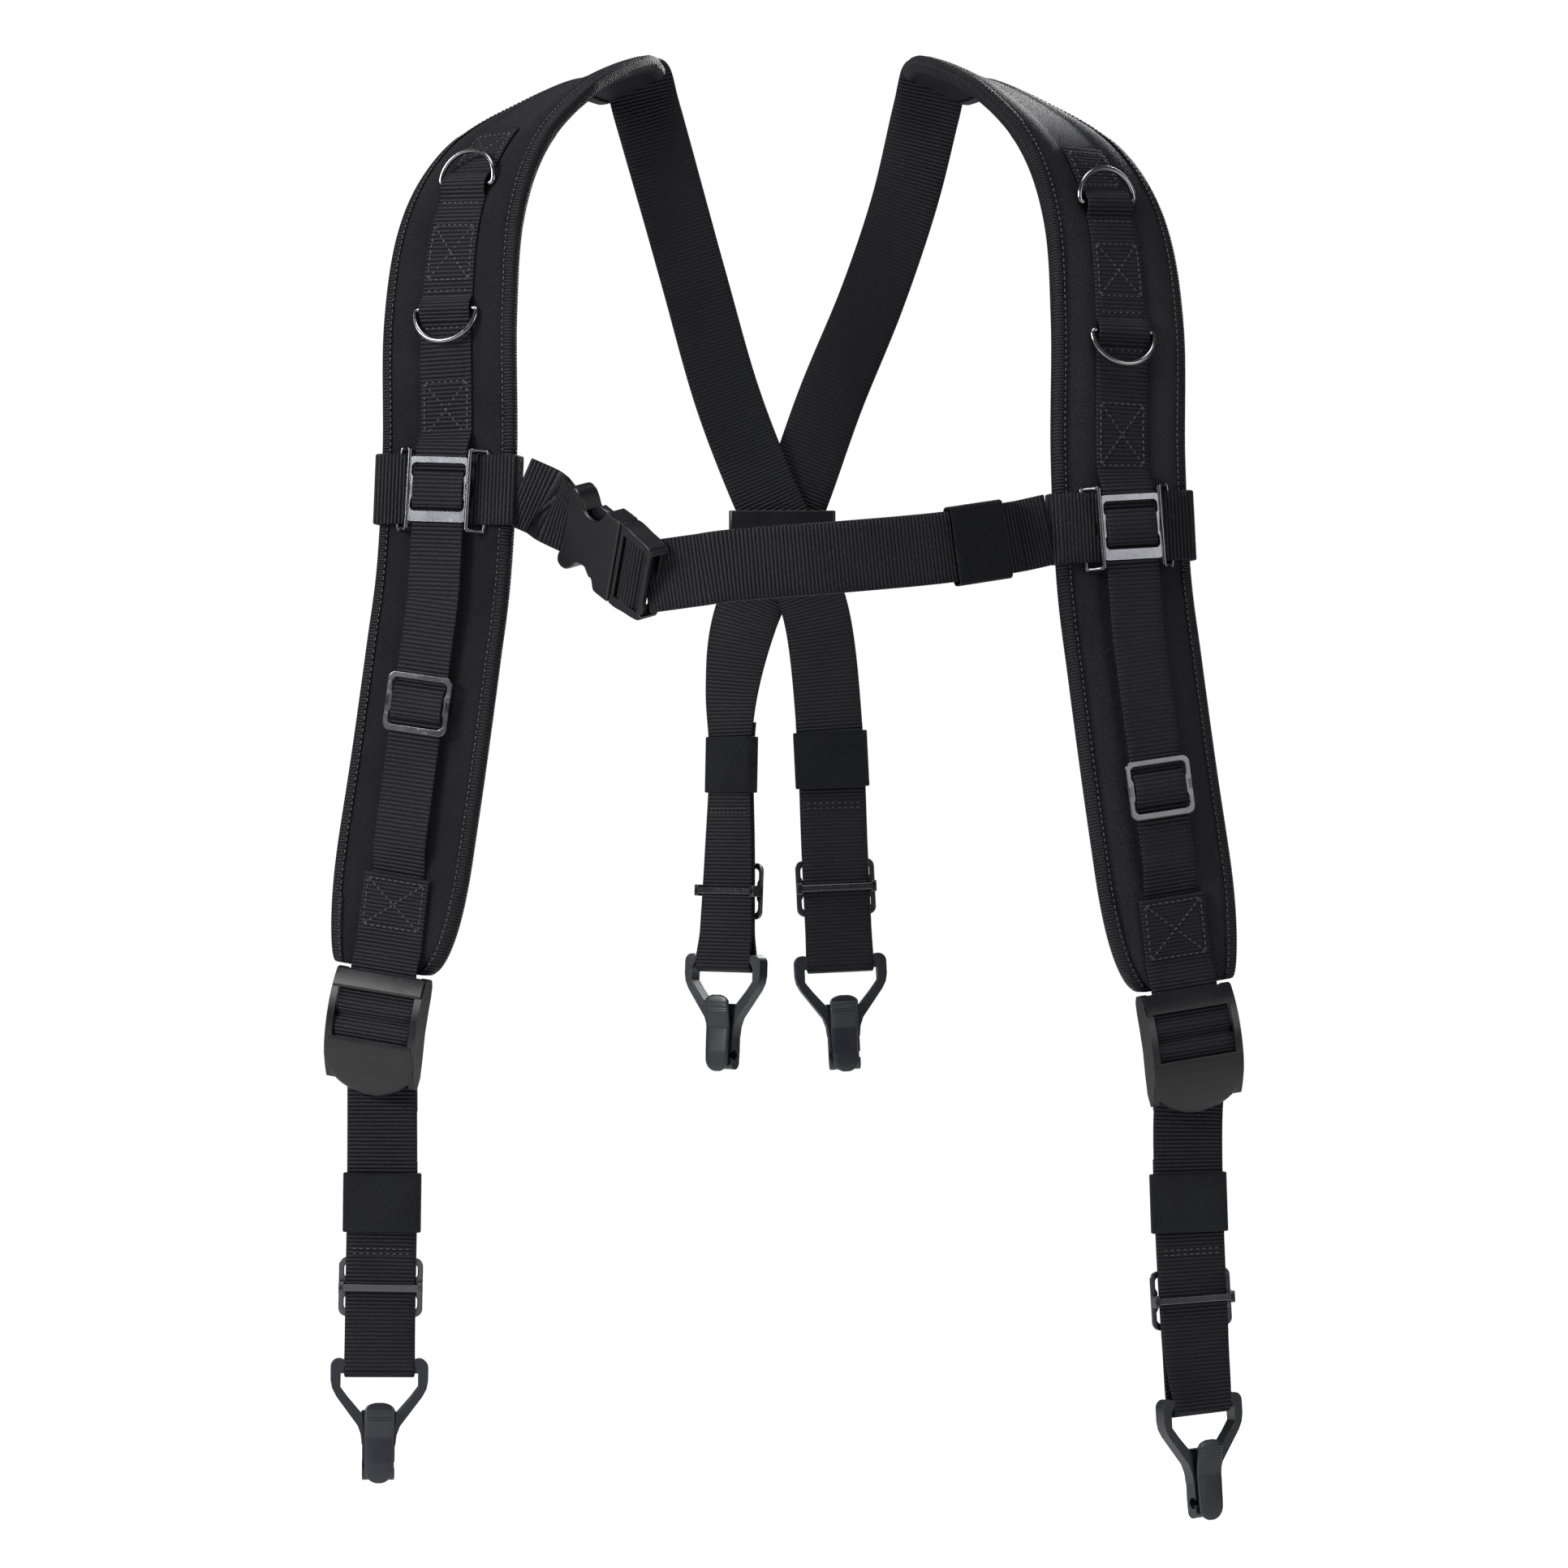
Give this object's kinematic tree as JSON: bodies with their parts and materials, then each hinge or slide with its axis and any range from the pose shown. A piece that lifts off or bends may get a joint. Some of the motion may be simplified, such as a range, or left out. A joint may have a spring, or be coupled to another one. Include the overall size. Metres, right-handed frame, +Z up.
{
  "type": "tool belt suspenders",
  "caption": "Padded shoulder harness with crossed rear webs, chest strap with side-release buckle, D-rings and snap hooks that carry a tool belt.",
  "frame": {"origin": "midway between the two saddles that rest on the shoulders", "axes": "+X to the viewer's right when the front is seen, +Y from the wearer's chest to the back, +Z up"},
  "size_m": [0.4968, 0.3138, 0.8062],
  "materials": {
    "foam": "matt closed-cell foam",
    "pad_cover": "coarse twill",
    "binding": "ribbed tape",
    "webbing": "ribbed nylon webbing",
    "elastic": "twill elastic",
    "ring_metal": "black nickel",
    "slide_metal": "gunmetal",
    "spring_steel": "bright",
    "hook_plastic": "satin",
    "buckle_plastic": "satin"
  },
  "bodies": {
    "harness": {"anchor_web_left": "webbing", "anchor_web_right": "webbing", "buckle_base": "buckle_plastic", "buckle_shell": "buckle_plastic", "chest_strap_left": "webbing", "chest_strap_right": "webbing", "crossing_slide": "buckle_plastic", "pad_binding_left": "binding", "pad_binding_right": "binding", "pad_cover_left": "pad_cover", "pad_cover_right": "pad_cover", "pad_foam_left": "foam", "pad_foam_right": "foam", "pad_web_left": "webbing", "pad_web_right": "webbing", "rear_web_left": "webbing", "rear_web_right": "webbing"},
    "chest_slide_left": {"chest_slide_left": "slide_metal", "chest_band_left": "webbing"},
    "pad_slide_left": {"pad_slide_left": "slide_metal"},
    "d_ring_upper_left": {"d_ring_upper_left": "ring_metal"},
    "d_ring_lower_left": {"d_ring_lower_left": "ring_metal"},
    "ladder_lock_left": {"ladder_lock_left": "buckle_plastic"},
    "front_strap_left": {"front_strap_left": "webbing", "front_hook_web_left": "webbing"},
    "chest_slide_right": {"chest_slide_right": "slide_metal", "chest_band_right": "webbing"},
    "pad_slide_right": {"pad_slide_right": "slide_metal"},
    "d_ring_upper_right": {"d_ring_upper_right": "ring_metal"},
    "d_ring_lower_right": {"d_ring_lower_right": "ring_metal"},
    "ladder_lock_right": {"ladder_lock_right": "buckle_plastic"},
    "front_strap_right": {"front_strap_right": "webbing", "front_hook_web_right": "webbing"},
    "strap_slide_front_left": {"strap_slide_front_left": "slide_metal"},
    "keeper_front_left": {"keeper_front_left": "elastic"},
    "hook_front_left": {"hook_body_front_left": "hook_plastic", "hook_pin_front_left": "spring_steel", "hook_spring_front_left": "spring_steel"},
    "hook_lever_front_left": {"hook_lever_front_left": "hook_plastic"},
    "strap_slide_front_right": {"strap_slide_front_right": "slide_metal"},
    "keeper_front_right": {"keeper_front_right": "elastic"},
    "hook_front_right": {"hook_body_front_right": "hook_plastic", "hook_pin_front_right": "spring_steel", "hook_spring_front_right": "spring_steel"},
    "hook_lever_front_right": {"hook_lever_front_right": "hook_plastic"},
    "strap_slide_rear_right": {"strap_slide_rear_right": "slide_metal"},
    "keeper_rear_right": {"keeper_rear_right": "elastic"},
    "hook_rear_right": {"hook_body_rear_right": "hook_plastic", "hook_pin_rear_right": "spring_steel", "hook_spring_rear_right": "spring_steel"},
    "hook_lever_rear_right": {"hook_lever_rear_right": "hook_plastic"},
    "strap_slide_rear_left": {"strap_slide_rear_left": "slide_metal"},
    "keeper_rear_left": {"keeper_rear_left": "elastic"},
    "hook_rear_left": {"hook_body_rear_left": "hook_plastic", "hook_pin_rear_left": "spring_steel", "hook_spring_rear_left": "spring_steel"},
    "hook_lever_rear_left": {"hook_lever_rear_left": "hook_plastic"},
    "keeper_chest": {"keeper_chest": "elastic"},
    "buckle_prong_upper": {"buckle_prong_upper": "buckle_plastic"},
    "buckle_prong_lower": {"buckle_prong_lower": "buckle_plastic"}
  },
  "joints": [
    {"name": "chest_slide_left_travel", "type": "slide", "parent": "harness", "child": "chest_slide_left", "axis": [0.0564, 0.0276, 0.998], "range_m": [-0.03, 0.006], "deforming": ["chest_band_left"]},
    {"name": "pad_slide_left_travel", "type": "slide", "parent": "harness", "child": "pad_slide_left", "axis": [0.1362, -0.0292, 0.9903], "range_m": [-0.045, 0.025]},
    {"name": "d_ring_upper_left_flip", "type": "hinge", "parent": "harness", "child": "d_ring_upper_left", "pos_m": [-0.17199, -0.0888, -0.07488], "axis": [0.8106, -0.5848, -0.0301], "range_deg": [0, 120]},
    {"name": "d_ring_lower_left_flip", "type": "hinge", "parent": "harness", "child": "d_ring_lower_left", "pos_m": [-0.18205, -0.107, -0.14409], "axis": [0.9274, -0.3742, 0.0048], "range_deg": [-120, 0]},
    {"name": "ladder_lock_left_tilt", "type": "hinge", "parent": "harness", "child": "ladder_lock_left", "pos_m": [-0.21506, -0.10714, -0.50733], "axis": [-0.9435, 0.2989, 0.143], "range_deg": [0, 35]},
    {"name": "front_strap_left_swing", "type": "hinge", "parent": "ladder_lock_left", "child": "front_strap_left", "pos_m": [-0.21854, -0.10905, -0.52634], "axis": [0.9435, -0.2989, -0.143], "range_deg": [0, 15]},
    {"name": "chest_slide_right_travel", "type": "slide", "parent": "harness", "child": "chest_slide_right", "axis": [-0.0747, 0.0175, 0.9971], "range_m": [-0.03, 0.006], "deforming": ["chest_band_right"]},
    {"name": "pad_slide_right_travel", "type": "slide", "parent": "harness", "child": "pad_slide_right", "axis": [-0.1348, -0.0327, 0.9903], "range_m": [-0.015, 0.045]},
    {"name": "d_ring_upper_right_flip", "type": "hinge", "parent": "harness", "child": "d_ring_upper_right", "pos_m": [0.17473, -0.09265, -0.08533], "axis": [0.8333, 0.5517, 0.0334], "range_deg": [0, 120]},
    {"name": "d_ring_lower_right_flip", "type": "hinge", "parent": "harness", "child": "d_ring_lower_right", "pos_m": [0.1824, -0.10829, -0.15623], "axis": [0.9327, 0.3604, -0.0151], "range_deg": [-120, 0]},
    {"name": "ladder_lock_right_tilt", "type": "hinge", "parent": "harness", "child": "ladder_lock_right", "pos_m": [0.21504, -0.10715, -0.51633], "axis": [-0.9438, -0.2991, -0.1406], "range_deg": [0, 35]},
    {"name": "front_strap_right_swing", "type": "hinge", "parent": "ladder_lock_right", "child": "front_strap_right", "pos_m": [0.21849, -0.1091, -0.53534], "axis": [0.9438, 0.2991, 0.1406], "range_deg": [0, 15]},
    {"name": "strap_slide_front_left_travel", "type": "slide", "parent": "front_strap_left", "child": "strap_slide_front_left", "axis": [0.0184, -0.0022, 0.9998], "range_m": [-0.006, 0.012]},
    {"name": "keeper_front_left_travel", "type": "slide", "parent": "front_strap_left", "child": "keeper_front_left", "axis": [0.0117, 0.0051, 0.9999], "range_m": [-0.008, 0.01]},
    {"name": "hook_front_left_swing", "type": "hinge", "parent": "front_strap_left", "child": "hook_front_left", "pos_m": [-0.2185, -0.098, -0.716], "axis": [0.9928, 0.1191, -0.0138], "range_deg": [-60, 60]},
    {"name": "hook_lever_front_left_press", "type": "hinge", "parent": "hook_front_left", "child": "hook_lever_front_left", "pos_m": [-0.21884, -0.09959, -0.754], "axis": [-0.9928, -0.1191, 0.0138], "range_deg": [0, 14], "stiffness_Nm_per_rad": 0.6, "springref_deg": -6.88},
    {"name": "strap_slide_front_right_travel", "type": "slide", "parent": "front_strap_right", "child": "strap_slide_front_right", "axis": [-0.055, -0.0026, 0.9985], "range_m": [-0.006, 0.012]},
    {"name": "keeper_front_right_travel", "type": "slide", "parent": "front_strap_right", "child": "keeper_front_right", "axis": [-0.0318, 0.0116, 0.9994], "range_m": [-0.008, 0.01]},
    {"name": "hook_front_right_swing", "type": "hinge", "parent": "front_strap_right", "child": "hook_front_right", "pos_m": [0.224, -0.099, -0.736], "axis": [0.8403, 0.5402, 0.0467], "range_deg": [-60, 60]},
    {"name": "hook_lever_front_right_press", "type": "hinge", "parent": "hook_front_right", "child": "hook_lever_front_right", "pos_m": [0.22697, -0.10035, -0.77389], "axis": [-0.8403, -0.5402, -0.0467], "range_deg": [0, 14], "stiffness_Nm_per_rad": 0.6, "springref_deg": -6.88},
    {"name": "strap_slide_rear_right_travel", "type": "slide", "parent": "harness", "child": "strap_slide_rear_right", "axis": [-0.0473, 0.0315, 0.9984], "range_m": [-0.006, 0.008]},
    {"name": "keeper_rear_right_travel", "type": "slide", "parent": "harness", "child": "keeper_rear_right", "axis": [-0.0492, 0.0267, 0.9984], "range_m": [-0.008, 0.001]},
    {"name": "hook_rear_right_swing", "type": "hinge", "parent": "harness", "child": "hook_rear_right", "pos_m": [0.032, 0.094, -0.503], "axis": [0.9894, 0.1385, 0.0427], "range_deg": [-60, 60]},
    {"name": "hook_lever_rear_right_press", "type": "hinge", "parent": "hook_rear_right", "child": "hook_lever_rear_right", "pos_m": [0.03403, 0.09121, -0.54088], "axis": [-0.9894, -0.1385, -0.0427], "range_deg": [0, 14], "stiffness_Nm_per_rad": 0.6, "springref_deg": -6.88},
    {"name": "strap_slide_rear_left_travel", "type": "slide", "parent": "harness", "child": "strap_slide_rear_left", "axis": [0.0318, 0.0318, 0.999], "range_m": [-0.006, 0.008]},
    {"name": "keeper_rear_left_travel", "type": "slide", "parent": "harness", "child": "keeper_rear_left", "axis": [0.0188, 0.0188, 0.9996], "range_m": [-0.008, 0.001]},
    {"name": "hook_rear_left_swing", "type": "hinge", "parent": "harness", "child": "hook_rear_left", "pos_m": [-0.033, 0.098, -0.503], "axis": [0.8211, -0.5708, -0.008], "range_deg": [-60, 60]},
    {"name": "hook_lever_rear_left_press", "type": "hinge", "parent": "hook_rear_left", "child": "hook_lever_rear_left", "pos_m": [-0.03512, 0.09548, -0.54089], "axis": [-0.8211, 0.5708, 0.008], "range_deg": [0, 14], "stiffness_Nm_per_rad": 0.6, "springref_deg": -6.88},
    {"name": "keeper_chest_travel", "type": "slide", "parent": "harness", "child": "keeper_chest", "axis": [0.8827, 0.4455, 0.1493], "range_m": [-0.008, 0.008]},
    {"name": "buckle_prong_upper_squeeze", "type": "hinge", "parent": "harness", "child": "buckle_prong_upper", "pos_m": [-0.08658, -0.16639, -0.26582], "axis": [-0.7594, -0.6068, -0.2346], "range_deg": [0, 5], "stiffness_Nm_per_rad": 1, "springref_deg": -2.86},
    {"name": "buckle_prong_lower_squeeze", "type": "hinge", "parent": "harness", "child": "buckle_prong_lower", "pos_m": [-0.09159, -0.1501, -0.29171], "axis": [0.7594, 0.6068, 0.2346], "range_deg": [0, 5], "stiffness_Nm_per_rad": 1, "springref_deg": -2.86}
  ]
}
